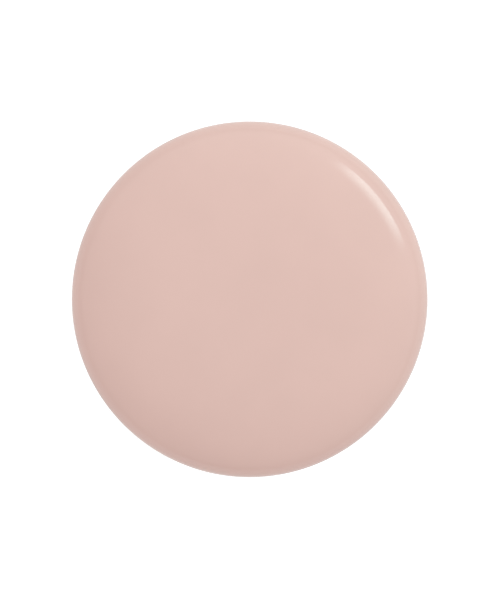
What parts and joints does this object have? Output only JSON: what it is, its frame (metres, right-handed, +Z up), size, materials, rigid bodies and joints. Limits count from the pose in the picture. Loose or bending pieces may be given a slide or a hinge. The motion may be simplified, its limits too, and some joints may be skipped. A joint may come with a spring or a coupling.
{
  "type": "nail polish bottle",
  "caption": "Round glass nail polish bottle with a colour-matched domed overcap that pulls off a ribbed screw cap carrying the brush",
  "frame": {"origin": "middle of the bottle's base, on the surface it stands on", "axes": "+Z up along the axis that the bottle, cap and brush share; +X and +Y are arbitrary, because the outside is round"},
  "size_m": [0.0304, 0.0304, 0.0714],
  "materials": {
    "clear_glass": "clear flint glass, fire polished",
    "lacquer": "opaque cream lacquer, wet gloss",
    "ball_steel": "polished stainless steel",
    "label_paper": "blank matt label paper",
    "liner_foam": "white polyethylene foam",
    "slug_steel": "turned steel",
    "inner_cap_plastic": "moulded polypropylene, satin",
    "stem_plastic": "moulded polyethylene",
    "anchor_brass": "cut brass strip",
    "nylon_bristle": "fine nylon filaments wet with lacquer",
    "overcap_gloss": "high gloss pink-beige, lacquered",
    "insert_plastic": "moulded polypropylene"
  },
  "bodies": {
    "bottle": {"glass_bottle": "clear_glass", "nail_polish": "lacquer", "base_label": "label_paper"},
    "mixing_balls": {"mixing_ball_1": "ball_steel", "mixing_ball_2": "ball_steel"},
    "liner": {"cap_liner": "liner_foam"},
    "slug": {"cap_weight": "slug_steel"},
    "brush_cap": {"inner_cap": "inner_cap_plastic", "brush_stem": "stem_plastic", "tuft_anchor": "anchor_brass", "bristles": "nylon_bristle"},
    "overcap": {"overcap_shell": "overcap_gloss", "overcap_insert": "insert_plastic"}
  },
  "joints": [
    {"name": "ball_swirl", "type": "hinge", "parent": "bottle", "child": "mixing_balls", "pos_m": [0, 0, 0.00605], "axis": [0, 0, 1], "continuous": true},
    {"name": "brush_draw", "type": "slide", "parent": "bottle", "child": "liner", "axis": [0, 0, 1], "range_m": [0, 0.045]},
    {"name": "thread_rise", "type": "slide", "parent": "liner", "child": "slug", "axis": [0, 0, 1], "range_m": [0, 0.00423]},
    {"name": "cap_turn", "type": "hinge", "parent": "slug", "child": "brush_cap", "pos_m": [0, 0, 0.046], "axis": [0, 0, 1], "range_deg": [0, 720]},
    {"name": "overcap_pull", "type": "slide", "parent": "brush_cap", "child": "overcap", "axis": [0, 0, 1], "range_m": [0, 0.04]}
  ],
  "couplings": [
    {"joint": "thread_rise", "follows": "cap_turn", "m_per_rad": 0.00033693}
  ]
}
